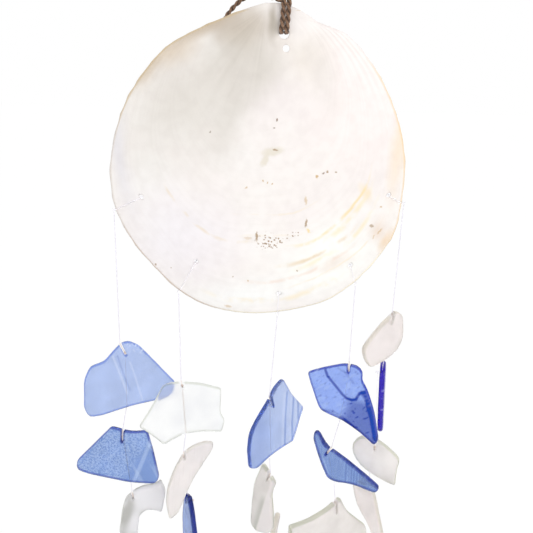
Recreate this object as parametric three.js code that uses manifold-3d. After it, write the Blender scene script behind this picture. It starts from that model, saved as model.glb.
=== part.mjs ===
// Glass wind chime: a pearl shell on a cord, with five strands of tumbled glass hung from its lower rim.
// Millimetres, +Z up, +X to the right, and the viewer stands at -Y.
// The origin is the inside top of the hanging loop, where a hook bears.

import * as THREE from 'three';
import { mergeVertices } from 'three/addons/utils/BufferGeometryUtils.js';
import Module from 'manifold-3d';

const wasm = await Module();
wasm.setup();

// Running clearance between pieces that touch
const GAP = 0.3;

// Hanging cord
const CORD_DIAMETER = 2.1;
const LOOP_WIDTH = 13;
const LOOP_HEIGHT = 26;
const LEG_LENGTH = 20;
const KNOT_WIDTH = 12.5;
const KNOT_HEIGHT = 8.5;
const KNOT_DEPTH = 9;
const TAIL_LENGTH = 20;

// Shell
const SHELL_WIDTH = 141;
const SHELL_HEIGHT = 147;
const SHELL_DOME = 9;
const SHELL_WARP = 2;
const SHELL_THICKNESS = 1.8;
const SHELL_RIM_THICKNESS = 1.1;
const SHELL_HINGE_THICKNESS = 2.6;
const HANG_HOLE_DIAMETER = 4.8;
const HANG_HOLE_INSET = 11.6;
const SPARE_HOLE_DIAMETER = 3.2;
const SPARE_HOLE_SPACING = 6;
const STRAND_HOLE_DIAMETER = 2.4;

// Nylon line
const LINE_DIAMETER = 0.5;
const LINE_KNOT_DIAMETER = 1.7;

// Glass
const GLASS_EDGE_ROUND = 1.1;
const KERF_WIDTH = 1.3;

const degrees = THREE.MathUtils.degToRad;

// Materials
const cordBrown = new THREE.MeshStandardMaterial({ color: 0x6b4a35, roughness: 0.9, metalness: 0 });
const pearl = new THREE.MeshStandardMaterial({ color: 0xe9e2da, roughness: 0.35, metalness: 0 });
const nylon = new THREE.MeshStandardMaterial({ color: 0xe6e3ee, roughness: 0.3, metalness: 0 });
const glass = {
  cobalt: new THREE.MeshStandardMaterial({ color: 0x6f8fd8, roughness: 0.25, metalness: 0 }),
  violet: new THREE.MeshStandardMaterial({ color: 0x3c2dbe, roughness: 0.25, metalness: 0 }),
  clear: new THREE.MeshStandardMaterial({ color: 0xf4f4fa, roughness: 0.15, metalness: 0 }),
  frosted: new THREE.MeshStandardMaterial({ color: 0xe4dfdc, roughness: 0.6, metalness: 0 }),
};

const chime = new THREE.Group();

function addMesh(name, geometry, material, position = new THREE.Vector3()) {
  const mesh = new THREE.Mesh(geometry, material);
  mesh.name = name;
  mesh.position.copy(position);
  chime.add(mesh);
  return mesh;
}

// Solids: from a closed geometry and back
function solid(geometry) {
  const bare = geometry.clone();
  bare.deleteAttribute('normal');
  bare.deleteAttribute('uv');
  const merged = mergeVertices(bare, 1e-4);
  const mesh = new wasm.Mesh({
    numProp: 3,
    vertProperties: new Float32Array(merged.attributes.position.array),
    triVerts: new Uint32Array(merged.index.array),
  });
  return new wasm.Manifold(mesh);
}

function geometryOf(manifold) {
  const mesh = manifold.getMesh();
  const geometry = new THREE.BufferGeometry();
  geometry.setAttribute('position', new THREE.BufferAttribute(new Float32Array(mesh.vertProperties), 3));
  geometry.setIndex(new THREE.BufferAttribute(new Uint32Array(mesh.triVerts), 1));
  geometry.computeVertexNormals();
  return geometry;
}

function joined(...geometries) {
  return geometryOf(geometries.map(solid).reduce((whole, part) => whole.add(part)));
}

function drilled(geometry, cutters) {
  return geometryOf(cutters.map(solid).reduce((whole, cutter) => whole.subtract(cutter), solid(geometry)));
}

// A round section swept along a curve
function tube(curve, diameter, steps, sides = 8) {
  const section = new THREE.Shape();
  for (let i = 0; i < sides; i += 1) {
    const angle = (2 * Math.PI * i) / sides;
    const x = (diameter / 2) * Math.cos(angle);
    const y = (diameter / 2) * Math.sin(angle);
    if (i === 0) section.moveTo(x, y);
    else section.lineTo(x, y);
  }
  section.closePath();
  return new THREE.ExtrudeGeometry(section, { extrudePath: curve, steps, curveSegments: 1 });
}

function smoothTube(points, diameter, steps, sides) {
  return tube(new THREE.CatmullRomCurve3(points), diameter, steps, sides);
}

function straightTube(from, to, diameter, sides) {
  return tube(new THREE.LineCurve3(from, to), diameter, 1, sides);
}

function bead(radii, centre, around = 8, rings = 6) {
  const geometry = new THREE.SphereGeometry(1, around, rings);
  geometry.scale(radii.x, radii.y, radii.z);
  geometry.translate(centre.x, centre.y, centre.z);
  return geometry;
}

// Rings of equal count, from the centre of the front face, over the edge, to the centre of the back face
function ringSolid(frontCentre, rings, backCentre) {
  const count = rings[0].length;
  const points = [frontCentre, ...rings.flat(), backCentre];
  const last = points.length - 1;
  const index = [];
  for (let i = 0; i < count; i += 1) {
    const next = (i + 1) % count;
    index.push(0, 1 + i, 1 + next);
    for (let ring = 0; ring < rings.length - 1; ring += 1) {
      const a = 1 + ring * count;
      const b = a + count;
      index.push(a + i, b + i, b + next, a + i, b + next, a + next);
    }
    const end = 1 + (rings.length - 1) * count;
    index.push(last, end + next, end + i);
  }
  const geometry = new THREE.BufferGeometry().setFromPoints(points);
  geometry.setIndex(index);
  return geometry;
}

// Shell
// The outline is read anticlockwise from the beak, in mm from the shell's middle, on a shell of this size.
const DRAWN_WIDTH = 141;
const DRAWN_HEIGHT = 147;
const shellOutline = [
  [2.5, 73.5], [-15.5, 67.5], [-29.5, 61.5], [-41, 55], [-50, 46], [-59, 34], [-65.5, 20], [-70, 3],
  [-70.5, -10.5], [-68.5, -22.5], [-60.5, -38.5], [-49, -52.5], [-38.5, -62.5], [-26, -69.5],
  [-12, -73], [4, -73.5], [23, -70.5], [37.5, -65.5], [51, -55], [62, -41.5], [68.5, -29], [70.5, -13],
  [70, 6], [65.5, 23.5], [57.5, 40], [49, 51.5], [38.5, 61.5], [25.5, 66.5], [15, 72],
];
const rimCurve = new THREE.CatmullRomCurve3(
  shellOutline.map(([x, z]) => new THREE.Vector3(
    (x * SHELL_WIDTH) / DRAWN_WIDTH, 0, (z * SHELL_HEIGHT) / DRAWN_HEIGHT,
  )),
  true,
);
const RIM_SAMPLES = 60;
const rimPoints = rimCurve.getSpacedPoints(RIM_SAMPLES).slice(0, RIM_SAMPLES);

// Radius of the outline in a direction, found on the rim's sampled edges
function rimRadius(angle) {
  const direction = new THREE.Vector2(Math.cos(angle), Math.sin(angle));
  for (let i = 0; i < RIM_SAMPLES; i += 1) {
    const a = new THREE.Vector2(rimPoints[i].x, rimPoints[i].z);
    const b = new THREE.Vector2(rimPoints[(i + 1) % RIM_SAMPLES].x, rimPoints[(i + 1) % RIM_SAMPLES].z);
    const edge = b.clone().sub(a);
    const across = direction.cross(edge);
    const along = a.cross(edge) / across;
    const share = a.cross(direction) / across;
    if (along > 0 && share >= 0 && share <= 1) return along;
  }
  throw new Error('the outline has no edge in that direction');
}

// Middle surface and thickness of the shell at a share of the way from its middle to its rim
const HINGE_ANGLE = degrees(105);
const HINGE_SPREAD = degrees(38);

function shellMiddle(share, angle) {
  return -SHELL_DOME * (1 - share * share) + SHELL_WARP * share * share * Math.cos(2 * angle);
}

function shellWall(share, angle) {
  const plain = SHELL_THICKNESS + (SHELL_RIM_THICKNESS - SHELL_THICKNESS) * share * share;
  const turn = Math.atan2(Math.sin(angle - HINGE_ANGLE), Math.cos(angle - HINGE_ANGLE)) / HINGE_SPREAD;
  const hinge = Math.exp(-turn * turn) * share ** 4;
  return plain + (SHELL_HINGE_THICKNESS - plain) * hinge;
}

function shellPoint(angle, radius, side) {
  const share = radius / rimRadius(angle);
  const y = shellMiddle(share, angle) + (side * shellWall(share, angle)) / 2;
  return new THREE.Vector3(radius * Math.cos(angle), y, radius * Math.sin(angle));
}

function shellRing(share, side) {
  return rimPoints.map((point) => {
    const angle = Math.atan2(point.z, point.x);
    const y = shellMiddle(share, angle) + (side * shellWall(share, angle)) / 2;
    return new THREE.Vector3(point.x * share, y, point.z * share);
  });
}

const RING_SHARES = [0.3, 0.55, 0.75, 0.9, 0.985];
const shellBlank = ringSolid(
  new THREE.Vector3(0, shellMiddle(0, 0) - shellWall(0, 0) / 2, 0),
  [
    ...RING_SHARES.map((share) => shellRing(share, -1)),
    shellRing(1, -0.45),
    shellRing(1, 0.45),
    ...RING_SHARES.toReversed().map((share) => shellRing(share, 1)),
  ],
  new THREE.Vector3(0, shellMiddle(0, 0) + shellWall(0, 0) / 2, 0),
);

// The hang hole is straight down from the rim under the cord, and the spare hole is a little lower.
const HANG_HOLE_X = 1.8;
const SHELL_MIDDLE_X = -9.2;
const hangX = HANG_HOLE_X - SHELL_MIDDLE_X;

function rimHeightAt(x) {
  let angle = Math.PI / 2;
  for (let i = 0; i < 20; i += 1) {
    angle = Math.acos(x / rimRadius(angle));
  }
  return rimRadius(angle) * Math.sin(angle);
}

const rimOverHole = rimHeightAt(hangX);
const hangHoleZ = rimOverHole - HANG_HOLE_INSET;
const hangAngle = Math.atan2(hangHoleZ, hangX);
const hangRadius = Math.hypot(hangX, hangHoleZ);
const hangHole = shellPoint(hangAngle, hangRadius, 0);

// The rim lies this far under the origin.
const KNOT_TOP = -(LOOP_HEIGHT + GAP + LEG_LENGTH + GAP);
const RIM_TOP = KNOT_TOP - KNOT_HEIGHT - 2 * GAP;
const shellMiddlePoint = new THREE.Vector3(SHELL_MIDDLE_X, 0, RIM_TOP - rimOverHole);

// Strands: the direction of the rim point and of its hole, and how far inside the rim that hole is
const strandPlaces = {
  a: { rim: degrees(196.4), hole: degrees(193), inset: 15.4 },
  b: { rim: degrees(237.9), hole: degrees(236.3), inset: 20 },
  c: { rim: degrees(278.8), hole: degrees(280.8), inset: 11.2 },
  d: { rim: degrees(311.9), hole: degrees(315.8), inset: 9.2 },
  e: { rim: degrees(348.5), hole: degrees(350.9), inset: 7.8 },
};

function boreAt(x, z, diameter, sides) {
  const cutter = new THREE.CylinderGeometry(diameter / 2, diameter / 2, 4 * SHELL_DOME, sides);
  cutter.translate(x, 0, z);
  return cutter;
}

const strandHoles = Object.values(strandPlaces).map(({ rim, hole, inset }) => {
  const radius = rimRadius(rim) - inset;
  return boreAt(radius * Math.cos(hole), radius * Math.sin(hole), STRAND_HOLE_DIAMETER, 12);
});
const shell = drilled(shellBlank, [
  boreAt(hangHole.x, hangHole.z, HANG_HOLE_DIAMETER, 16),
  boreAt(hangHole.x + 1, hangHole.z - SPARE_HOLE_SPACING, SPARE_HOLE_DIAMETER, 12),
  ...strandHoles,
]);
addMesh('shell', shell, pearl, shellMiddlePoint);

// Hanging cord: a loop for the hook, two legs, a knot on the rim and the doubled cord through the hole
const strandStep = CORD_DIAMETER / 2 + GAP / 2;
const CORD_LINE_Y = -1.4;
const loopArch = smoothTube([
  new THREE.Vector3(-strandStep, CORD_LINE_Y, -LOOP_HEIGHT),
  new THREE.Vector3(-strandStep - 0.3, CORD_LINE_Y, -LOOP_HEIGHT + 4),
  new THREE.Vector3(-LOOP_WIDTH / 2 + CORD_DIAMETER, CORD_LINE_Y / 2, -LOOP_HEIGHT * 0.45),
  new THREE.Vector3(-LOOP_WIDTH / 2 + CORD_DIAMETER / 2 + 0.3, 0, -LOOP_HEIGHT * 0.2),
  new THREE.Vector3(0, 0, CORD_DIAMETER / 2),
  new THREE.Vector3(LOOP_WIDTH / 2 - CORD_DIAMETER / 2 - 0.3, 0, -LOOP_HEIGHT * 0.2),
  new THREE.Vector3(LOOP_WIDTH / 2 - CORD_DIAMETER, CORD_LINE_Y / 2, -LOOP_HEIGHT * 0.45),
  new THREE.Vector3(strandStep + 0.3, CORD_LINE_Y, -LOOP_HEIGHT + 4),
  new THREE.Vector3(strandStep, CORD_LINE_Y, -LOOP_HEIGHT),
], CORD_DIAMETER, 28);
addMesh('hang_loop', loopArch, cordBrown);

for (const [name, side] of [['loop_leg_left', -1], ['loop_leg_right', 1]]) {
  const top = new THREE.Vector3(0, 0, -CORD_DIAMETER / 2);
  const foot = new THREE.Vector3(0, 0, -LEG_LENGTH);
  const ball = new THREE.Vector3(CORD_DIAMETER / 2, CORD_DIAMETER / 2, CORD_DIAMETER / 2);
  const leg = joined(straightTube(top, foot, CORD_DIAMETER), bead(ball, top));
  addMesh(name, leg, cordBrown, new THREE.Vector3(side * strandStep, CORD_LINE_Y, -LOOP_HEIGHT - GAP));
}

// Knot: two wraps round a core, with the loose tail that lies behind the shell's left shoulder
const knotMiddle = new THREE.Vector3(-1, CORD_LINE_Y, KNOT_TOP - KNOT_HEIGHT / 2);

function wrap(lean, offset, width, depth) {
  const ring = new THREE.TorusGeometry(depth / 2 - CORD_DIAMETER / 2, CORD_DIAMETER / 2, 7, 14);
  ring.scale(width / depth, 1, 1);
  ring.rotateX(lean);
  ring.rotateY(-lean / 2);
  ring.translate(0, 0, offset);
  return ring;
}

const core = bead(
  new THREE.Vector3(KNOT_WIDTH / 2 - 1, KNOT_DEPTH / 2 - 1, KNOT_HEIGHT / 2), new THREE.Vector3(), 12, 8,
);
const tailFall = TAIL_LENGTH * 0.45;
const tail = smoothTube([
  new THREE.Vector3(-2, 1, 0.5),
  new THREE.Vector3(-KNOT_WIDTH / 2 - 0.5, 3.9, 0.6),
  new THREE.Vector3(-KNOT_WIDTH / 2 - TAIL_LENGTH * 0.45, 5.2, -tailFall * 0.3),
  new THREE.Vector3(-KNOT_WIDTH / 2 - TAIL_LENGTH * 0.88, 6, -tailFall),
], CORD_DIAMETER, 10);
const knot = joined(
  core,
  wrap(0.22, KNOT_HEIGHT * 0.2, KNOT_WIDTH - 1, KNOT_DEPTH - 1),
  wrap(-0.2, -KNOT_HEIGHT * 0.2, KNOT_WIDTH, KNOT_DEPTH),
  tail,
);
addMesh('rim_knot', knot, cordBrown, knotMiddle);

// Doubled cord: down the front, round the top edge of the hang hole and up the back
const CORD_SLACK = 0.35;
const cordOff = GAP + CORD_SLACK + CORD_DIAMETER / 2;
const BIGHT_RISE = 0.7;
const HOLE_LIFT = 0.35;

function bightStrand(side) {
  const x = side * (CORD_DIAMETER / 2 - 0.1);
  const at = (y, z) => new THREE.Vector3(x, y, z);
  const beside = (share, face) => {
    const height = rimOverHole - HANG_HOLE_INSET * share;
    const surface = shellPoint(Math.atan2(height, hangX), Math.hypot(hangX, height), face);
    return at(surface.y + face * cordOff, -HANG_HOLE_INSET * share);
  };
  const bendFront = beside(0.78, -1);
  const bendBack = beside(0.78, 1);
  const bendMiddle = (bendFront.y + bendBack.y) / 2;
  const bendReach = (bendBack.y - bendFront.y) / 2;
  const bendFall = HANG_HOLE_INSET - HOLE_LIFT + bendFront.z;
  const bend = [0, 0.25, 0.5, 0.75, 1].map((share) => at(
    bendMiddle - bendReach * Math.cos(Math.PI * share),
    bendFront.z - bendFall * Math.sin(Math.PI * share),
  ));
  const rimFront = beside(0.02, -1);
  const rimBack = beside(0.02, 1);
  return smoothTube([
    at(rimFront.y, BIGHT_RISE), rimFront, beside(0.3, -1), beside(0.55, -1),
    ...bend,
    beside(0.55, 1), beside(0.3, 1), rimBack, at(rimBack.y, BIGHT_RISE),
  ], CORD_DIAMETER, 20);
}

addMesh('hole_bight', joined(bightStrand(-1), bightStrand(1)), cordBrown, new THREE.Vector3(
  shellMiddlePoint.x + hangHole.x, 0, RIM_TOP,
));

// Strand ties: line through the hole, round both faces to a knot just off the rim
const lineKnot = new THREE.Vector3(LINE_KNOT_DIAMETER / 2, LINE_KNOT_DIAMETER / 2, LINE_KNOT_DIAMETER / 2);
const LINE_SLACK = 0.3;
const tieOff = GAP + LINE_SLACK + LINE_DIAMETER / 2;
const lineStarts = {};

for (const [strand, { rim, hole, inset }] of Object.entries(strandPlaces)) {
  const edge = rimRadius(rim);
  const knotRadius = edge + GAP + LINE_KNOT_DIAMETER / 2;
  const knotPoint = new THREE.Vector3(
    knotRadius * Math.cos(rim), shellMiddle(1, rim), knotRadius * Math.sin(rim),
  );
  const on = (share, side) => {
    const point = shellPoint(rim + (hole - rim) * share, edge - inset * share, side);
    point.y += side * tieOff;
    return point;
  };
  const run = [0.04, 0.25, 0.5, 0.75, 0.97];
  const path = [
    knotPoint,
    ...run.map((share) => on(share, -1)),
    shellPoint(hole, edge - inset - LINE_DIAMETER, 0),
    ...run.toReversed().map((share) => on(share, 1)),
    knotPoint,
  ];
  const loop = smoothTube(path, LINE_DIAMETER, 20, 5);
  addMesh(`rim_tie_${strand}`, joined(loop, bead(lineKnot, knotPoint)), nylon, shellMiddlePoint);
  lineStarts[strand] = knotPoint.clone().add(shellMiddlePoint);
  lineStarts[strand].z -= LINE_KNOT_DIAMETER / 2 + GAP;
}

// Glass outlines: [across, up] in mm from the blind end of the saw kerf, seen square on, then the corner's radius.
// drop is the line's length down to that blind end and lean is how far it strays sideways.
// turn is the angle about the line and tip how far the foot swings back, kerf the slot's [depth, lean] and
// exit where the line leaves the lower edge.
const strands = {
  a: [
    {
      glass: glass.cobalt, thickness: 3.3, drop: 80.3, lean: 0.2, turn: 20, kerf: [7.5, -20], exit: [-1.7, -32.2],
      heart: [-1.8, -14.5],
      outline: [
        [-2, 7.5, 1], [2, 8, 1.5], [7.5, 4.5, 2], [12.5, -2.5, 2], [26, -21.5, 1.2], [24, -28, 2],
        [18.5, -30.5, 2], [0.5, -31.5, 2], [-14.5, -34, 3], [-22.5, -34, 2.5], [-24.5, -28, 2],
        [-23, -10.5, 3], [-19, -3.5, 2], [-11.5, -2, 2], [-7, 3, 2],
      ],
    },
    {
      glass: glass.cobalt, thickness: 3.6, drop: 24.2, lean: -4, turn: -8, kerf: [7.9, 3], exit: [3, -27.5],
      heart: [-3.6, -11.6],
      outline: [
        [-6.5, 9, 1.2], [0, 8, 1], [5.5, 7, 3], [15, 9, 1.6], [18.5, -5, 3], [21.5, -21.5, 2],
        [19, -26, 2], [3, -27, 3], [-22, -24.5, 3], [-29, -22.5, 2.5], [-29, -16.5, 2.5],
      ],
    },
    {
      glass: glass.frosted, thickness: 4.2, drop: 13.4, lean: 0.6, turn: 10, kerf: [4.5, -6], heart: [0.4, -3.4],
      bow: 0.9, outline: [
        [-4.5, 1, 2], [1, 6, 2], [7, 8.5, 2], [12.5, 8, 2], [17, 11, 1.2], [19.5, 2.5, 2], [16.5, -13, 1.5],
        [13, -11, 1.5], [7.5, -9, 2], [3, -13, 2], [1.5, -23.5, 3], [0, -37, 2.5], [-4, -41.5, 2.5],
        [-9, -39, 2.5], [-10, -24, 3], [-6.5, -5, 3],
      ],
    },
  ],
  b: [
    {
      glass: glass.clear, thickness: 3.2, drop: 56.6, lean: 0.1, turn: 14, kerf: [4.4, -8], exit: [0.8, -29.1],
      heart: [3.3, -12.3],
      outline: [
        [-25, -20.5, 1.5], [-18, -10.5, 3], [-11, 2.5, 1.5], [-7.5, 4, 2], [-1, 4, 1.5], [9, 2, 4],
        [21.5, -3, 1.5], [20.5, -18, 2], [23, -23.5, 1.5], [21, -31, 1.5], [11.5, -29, 4], [1, -28.5, 3],
        [-5, -30.5, 3], [-12, -34.5, 2], [-15.5, -30, 1.8],
      ],
    },
    {
      glass: glass.frosted, thickness: 3.8, drop: 18.5, lean: -1.6, turn: 25, kerf: [4.4, 0], exit: [0.8, -22.6],
      heart: [-2.8, -12.7], bow: 1, outline: [
        [18.5, 5, 0.8], [18, 1.5, 1.2], [11.5, -6.5, 4], [4, -15.5, 3], [-0.5, -24, 3], [-6, -35, 2],
        [-11.5, -38, 1.6], [-13, -27, 4], [-11, -15.5, 4], [-5.5, -4, 4], [0, 4, 4], [6.5, 7, 4],
        [14, 7, 2],
      ],
    },
    {
      glass: glass.violet, thickness: 3.4, drop: 9.4, lean: 0.7, turn: -60, kerf: [5, 0], heart: [1.2, -19.2],
      outline: [
        [-3.5, 4, 1.2], [3, 6.5, 1.5], [7, -2.5, 3], [10, -16.5, 3], [11.5, -33.5, 3], [9, -44, 2.5],
        [-5, -43.5, 2.5], [-8.5, -32, 3], [-8, -16.5, 3], [-5.5, -4, 3],
      ],
    },
  ],
  c: [
    {
      glass: glass.cobalt, thickness: 3.4, drop: 55.8, lean: -1.7, turn: 48, kerf: [6.8, -14], exit: [-1.4, -30.7],
      heart: [2.6, -11],
      outline: [
        [2.5, 10.5, 2], [9.5, 13.5, 2], [15.5, 1.5, 3], [26.5, -13, 1.6], [22.5, -20, 3], [16, -31.5, 1.6], [8, -30.5, 3],
        [-4.5, -30.5, 4], [-15.5, -32.5, 2], [-20, -29.5, 1.5], [-20.5, -18, 4], [-18.5, -9, 3],
        [-13.5, -3, 4], [-3.5, 4.5, 2],
      ],
    },
    {
      glass: glass.frosted, thickness: 3.8, drop: 19.4, lean: 0, turn: -40, kerf: [5.3, 12], exit: [1, -38.8],
      heart: [-0.8, -17.5], bow: 1, outline: [
        [-5, 9, 1.2], [0, 6, 1.5], [5.5, 0.5, 1.5], [3, -8, 3], [5, -19.5, 4], [6.5, -32, 2],
        [3, -37, 2.5], [-6.5, -41, 2.5], [-11.5, -38, 2], [-11.5, -21.5, 4], [-10.5, -7.5, 4],
      ],
    },
    {
      glass: glass.frosted, thickness: 3.6, drop: 16.9, lean: 0.4, turn: 62, kerf: [4.7, 0], heart: [1, -13],
      outline: [
        [-4, 5, 2], [1.5, 5, 1.5], [4.5, 13, 3], [10.5, 22.5, 1.2], [13, 22, 1.2], [8.5, 13, 3],
        [8, -13, 5], [5.5, -27.5, 2.5], [-2, -32, 2.5], [-8, -23, 3], [-8, -5.5, 4],
      ],
    },
  ],
  d: [
    {
      glass: glass.cobalt, thickness: 3.8, drop: 51.1, lean: 0.2, turn: -20, tip: 2, kerf: [6.1, -4], exit: [-2.5, -31.1],
      heart: [2, -13.2],
      outline: [
        [-23, -5.5, 1.2], [-14.5, -0.5, 5], [-3, 4.5, 2], [4, 5, 3], [8, 1.5, 2.5], [7.5, -3, 2],
        [11.5, -9, 3], [16.5, -21.5, 5], [20.5, -38, 2.2], [18.5, -42, 2], [9.5, -35.5, 4], [-1, -30.5, 4],
        [-14, -27.5, 2.5], [-17.5, -20, 4],
      ],
    },
    {
      glass: glass.cobalt, thickness: 4, drop: 25.3, lean: -6.4, turn: -38, tip: 8, kerf: [6.7, 20], exit: [6.4, -14.6],
      heart: [10, -2.3],
      outline: [
        [-10, 12, 1.8], [-6.5, 11, 1.8], [-2, 5.5, 1.5], [7, 5, 3], [24, 1.5, 5], [35, -1.5, 2],
        [34.5, -6, 2], [20, -9, 4], [8.5, -14.5, 3], [3.5, -14.5, 2], [-2.5, -7, 4], [-10.5, 6, 3],
      ],
    },
    {
      glass: glass.frosted, thickness: 4, drop: 26, lean: 2, turn: 35, kerf: [8.4, -4], heart: [-4.2, -7.4],
      outline: [
        [-34.5, 8, 1.5], [-19, 5, 6], [-6, 6.5, 4], [-1, 8.5, 1.5], [3, 10, 1.5], [9, -3, 6],
        [17, -12.5, 6], [26, -23, 1.5], [29, -31.5, 3], [22, -36, 3], [3, -29, 5], [-17, -11.5, 5],
        [-34.5, -1, 2.5],
      ],
    },
  ],
  e: [
    {
      glass: glass.frosted, thickness: 4, drop: 64.3, lean: -0.8, turn: 30, kerf: [5.4, 20], exit: [-1.1, -19.8],
      heart: [-3.3, -8.2],
      outline: [
        [3.5, 6.5, 1.5], [8.5, 3, 2], [9, -9, 3], [5.5, -16, 4], [-4, -20.5, 4], [-13.5, -22, 2],
        [-17.5, -15.5, 3], [-18, -9.5, 2.5], [-7.5, -0.5, 4],
      ],
    },
    {
      glass: glass.violet, thickness: 3.2, drop: 9.6, lean: -0.2, turn: 77, kerf: [3.5, 0], exit: [0, -40.7],
      heart: [3, -16.7],
      outline: [
        [-2, 2, 2], [3, 3.5, 3], [9, 3, 2], [12.5, -7, 4], [11.5, -24, 5], [8.5, -38, 2.5], [1, -39.5, 3],
        [-3.5, -36.5, 2.5], [-6.5, -20.5, 5], [-5.5, -6, 4],
      ],
    },
    {
      glass: glass.frosted, thickness: 4, drop: 10.6, lean: 0, turn: -15, kerf: [6.5, 0], exit: [-1.3, -15.8],
      heart: [1.5, -6],
      outline: [
        [-9, 7, 2], [-2, 8, 3], [4.5, 5.5, 3], [15, -2.5, 2.5], [14, -10, 4], [14, -20, 1.2],
        [5.5, -18, 4], [-7, -11.5, 4], [-12.5, -4.5, 4], [-13, 2, 3],
      ],
    },
    {
      glass: glass.frosted, thickness: 3.8, drop: 13, lean: 0, turn: -35, kerf: [5.1, 0], heart: [1, -16.4],
      bow: 0.8, outline: [
        [-10.5, -0.5, 2], [-4, 5.5, 2.5], [1, 4.5, 2], [4.5, -1, 3], [8, -13.5, 5], [12, -27, 5], [15, -40, 3],
        [14, -48, 1.8], [10.5, -45.5, 3], [3.5, -26, 6], [-6.5, -14, 5],
      ],
    },
  ],
};

// Outline with each corner rounded off at its own radius
function roundedOutline(corners) {
  const shape = new THREE.Shape();
  corners.forEach(([x, y, radius], i) => {
    const corner = new THREE.Vector2(x, y);
    const before = new THREE.Vector2(...corners.at(i - 1));
    const after = new THREE.Vector2(...corners[(i + 1) % corners.length]);
    const toBefore = before.sub(corner);
    const toAfter = after.sub(corner);
    const cutBefore = Math.min(radius, toBefore.length() * 0.45);
    const cutAfter = Math.min(radius, toAfter.length() * 0.45);
    const start = corner.clone().add(toBefore.setLength(cutBefore));
    const end = corner.clone().add(toAfter.setLength(cutAfter));
    if (i === 0) shape.moveTo(start.x, start.y);
    else shape.lineTo(start.x, start.y);
    shape.quadraticCurveTo(corner.x, corner.y, end.x, end.y);
  });
  shape.closePath();
  const points = shape.getPoints(2);
  if (points[0].distanceTo(points.at(-1)) < 1e-6) points.pop();
  return THREE.ShapeUtils.isClockWise(points) ? points.reverse() : points;
}

// Way in from the outline at each point, between its two edges
function inwardAt(points, i) {
  const before = points.at(i - 1);
  const after = points[(i + 1) % points.length];
  const along = after.clone().sub(before).normalize();
  return new THREE.Vector2(-along.y, along.x);
}

// A tumbled piece of glass: flat or gently bowed faces and a fully rounded edge
function tumbledGlass({ outline, heart, thickness, bow = 0 }) {
  const edge = roundedOutline(outline);
  const reach = Math.max(...edge.map((point) => Math.abs(point.x)));
  const bowAt = (x) => bow * (x / reach) ** 2;
  const middle = new THREE.Vector2(...heart);
  const ring = (inset, lift, share = 1) => edge.map((point, i) => {
    const moved = point.clone().addScaledVector(inwardAt(edge, i), inset);
    moved.lerp(middle, 1 - share);
    return new THREE.Vector3(moved.x, bowAt(moved.x) + lift, moved.y);
  });
  const half = thickness / 2;
  const edgeTurns = [90, 45, 0, -45, -90].map(degrees);
  const rings = edgeTurns.map((turn) => (
    ring(GLASS_EDGE_ROUND * (1 - Math.cos(turn)), -half * Math.sin(turn))
  ));
  if (bow) {
    rings.unshift(ring(GLASS_EDGE_ROUND, -half, 0.55));
    rings.push(ring(GLASS_EDGE_ROUND, half, 0.55));
  }
  const centre = (lift) => new THREE.Vector3(middle.x, bowAt(middle.x) + lift, middle.y);
  return ringSolid(centre(-half), rings, centre(half));
}

// Saw kerf: a slot from the top edge down to its rounded blind end
function kerfCutter(depth, lean, thickness) {
  const reach = depth + 10;
  const slot = new THREE.BoxGeometry(KERF_WIDTH, 3 * thickness, reach);
  slot.translate(0, 0, reach / 2);
  const end = new THREE.CylinderGeometry(KERF_WIDTH / 2, KERF_WIDTH / 2, 3 * thickness, 8);
  const cutter = joined(slot, end);
  cutter.rotateY(degrees(lean));
  return cutter;
}

// Line in the kerf, the knot behind it and, where another piece hangs below, the run down the back
function kerfTie({ kerf, thickness, exit, bow = 0 }) {
  const [depth, lean] = kerf;
  const mouth = new THREE.Vector3(
    depth * Math.sin(degrees(lean)), 0, depth * Math.cos(degrees(lean)),
  );
  const back = thickness / 2 + GAP;
  const knotPoint = new THREE.Vector3(0, back + LINE_KNOT_DIAMETER / 2, -0.2);
  const inKerf = smoothTube([
    mouth,
    mouth.clone().multiplyScalar(0.5),
    new THREE.Vector3(0, 0, 0.35),
    new THREE.Vector3(0, back * 0.6, 0),
    knotPoint,
  ], LINE_DIAMETER, 6, 6);
  const pieces = [inKerf, bead(lineKnot, knotPoint, 8, 4)];
  if (exit) {
    const runY = back + LINE_DIAMETER / 2 + bow * 0.1;
    pieces.push(straightTube(knotPoint, new THREE.Vector3(exit[0], runY, exit[1]), LINE_DIAMETER, 6));
  }
  return { geometry: joined(...pieces), mouth };
}

// Each strand is threaded from the rim down.
for (const [strand, pieces] of Object.entries(strands)) {
  let top = lineStarts[strand].clone();
  pieces.forEach((piece, i) => {
    const name = `${strand}${i + 1}`;
    const { thickness, turn, tip = 0, drop, lean, exit, kerf } = piece;
    const hang = top.clone().add(new THREE.Vector3(lean, 0, -drop));
    const runOff = thickness / 2 + GAP + LINE_DIAMETER / 2;
    const tilt = exit ? -Math.atan2(runOff, -exit[1]) : 0;
    const pose = new THREE.Matrix4()
      .makeTranslation(hang)
      .multiply(new THREE.Matrix4().makeRotationX(degrees(tip)))
      .multiply(new THREE.Matrix4().makeRotationZ(degrees(turn)))
      .multiply(new THREE.Matrix4().makeRotationX(tilt));
    const tie = kerfTie(piece);
    const mouth = tie.mouth.clone().applyMatrix4(pose);
    const line = straightTube(
      top.clone().sub(mouth), new THREE.Vector3(0, 0, GAP), LINE_DIAMETER,
    );
    addMesh(`line_${name}`, line, nylon, mouth);
    const cut = drilled(tumbledGlass(piece), [kerfCutter(...kerf, thickness)]);
    for (const [kind, geometry, material] of [['shard', cut, piece.glass], ['kerf_tie', tie.geometry, nylon]]) {
      const mesh = addMesh(`${kind}_${name}`, geometry, material);
      mesh.applyMatrix4(pose);
    }
    if (exit) {
      top = new THREE.Vector3(exit[0], runOff, exit[1]).applyMatrix4(pose);
      top.z -= GAP;
    }
  });
}

export default chime;
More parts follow.
